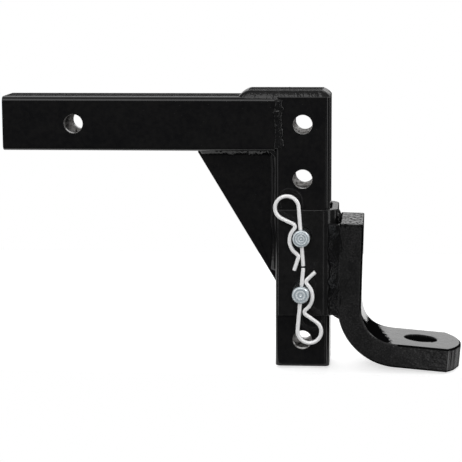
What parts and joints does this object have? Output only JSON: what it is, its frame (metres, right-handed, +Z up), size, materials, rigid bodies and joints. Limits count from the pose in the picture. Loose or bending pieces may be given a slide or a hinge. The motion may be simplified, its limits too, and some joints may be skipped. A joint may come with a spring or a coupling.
{
  "type": "adjustable ball mount",
  "caption": "Height-adjustable ball mount: a square receiver shank welded to a drilled column, and a sliding channel with a bent ball platform held by clipped pins.",
  "frame": {"origin": "the hitch pin hole's axis, at mid-depth and mid-height of the square shank", "axes": "+X along the shank from the receiver to the ball, +Y along the hitch pin hole and the way the locking pins are pulled out, +Z up"},
  "size_m": [0.4316, 0.1132, 0.2623],
  "materials": {
    "black_coat": "gloss powder coat",
    "coated_weld": "gloss powder coat over rippled weld",
    "zinc_pin": "bright zinc plate",
    "spring_wire": "satin zinc plate"
  },
  "bodies": {
    "mast": {"shank_tube": "black_coat", "column_tube": "black_coat", "top_plate": "black_coat", "gusset_plate": "black_coat", "shank_weld_front": "coated_weld", "shank_weld_rear": "coated_weld", "shank_weld_under": "coated_weld", "top_plate_weld": "coated_weld", "gusset_shank_weld_front": "coated_weld", "gusset_shank_weld_rear": "coated_weld", "gusset_column_weld_front": "coated_weld", "gusset_column_weld_rear": "coated_weld"},
    "slider": {"slider_channel": "black_coat", "ball_platform": "black_coat", "platform_weld_front": "coated_weld", "platform_weld_rear": "coated_weld", "platform_weld_top": "coated_weld", "platform_weld_foot": "coated_weld"},
    "upper_pin": {"pin_upper": "zinc_pin"},
    "lower_pin": {"pin_lower": "zinc_pin"},
    "upper_clip": {"clip_upper": "spring_wire"},
    "lower_clip": {"clip_lower": "spring_wire"}
  },
  "joints": [
    {"name": "slider_play", "type": "slide", "parent": "mast", "child": "slider", "axis": [0, 0, 1], "range_m": [0, 0.0015]},
    {"name": "upper_pin_float", "type": "slide", "parent": "slider", "child": "upper_pin", "axis": [0, 1, 0], "range_m": [-0.009, 0.0115]},
    {"name": "lower_pin_float", "type": "slide", "parent": "slider", "child": "lower_pin", "axis": [0, 1, 0], "range_m": [0, 0.0205]},
    {"name": "upper_clip_pull", "type": "slide", "parent": "upper_pin", "child": "upper_clip", "axis": [-0.0802, 0, 0.9968], "range_m": [0, 0.037], "deforming": ["clip_upper"]},
    {"name": "lower_clip_pull", "type": "slide", "parent": "lower_pin", "child": "lower_clip", "axis": [-0.0872, 0, -0.9962], "range_m": [0, 0.034], "deforming": ["clip_lower"]}
  ]
}
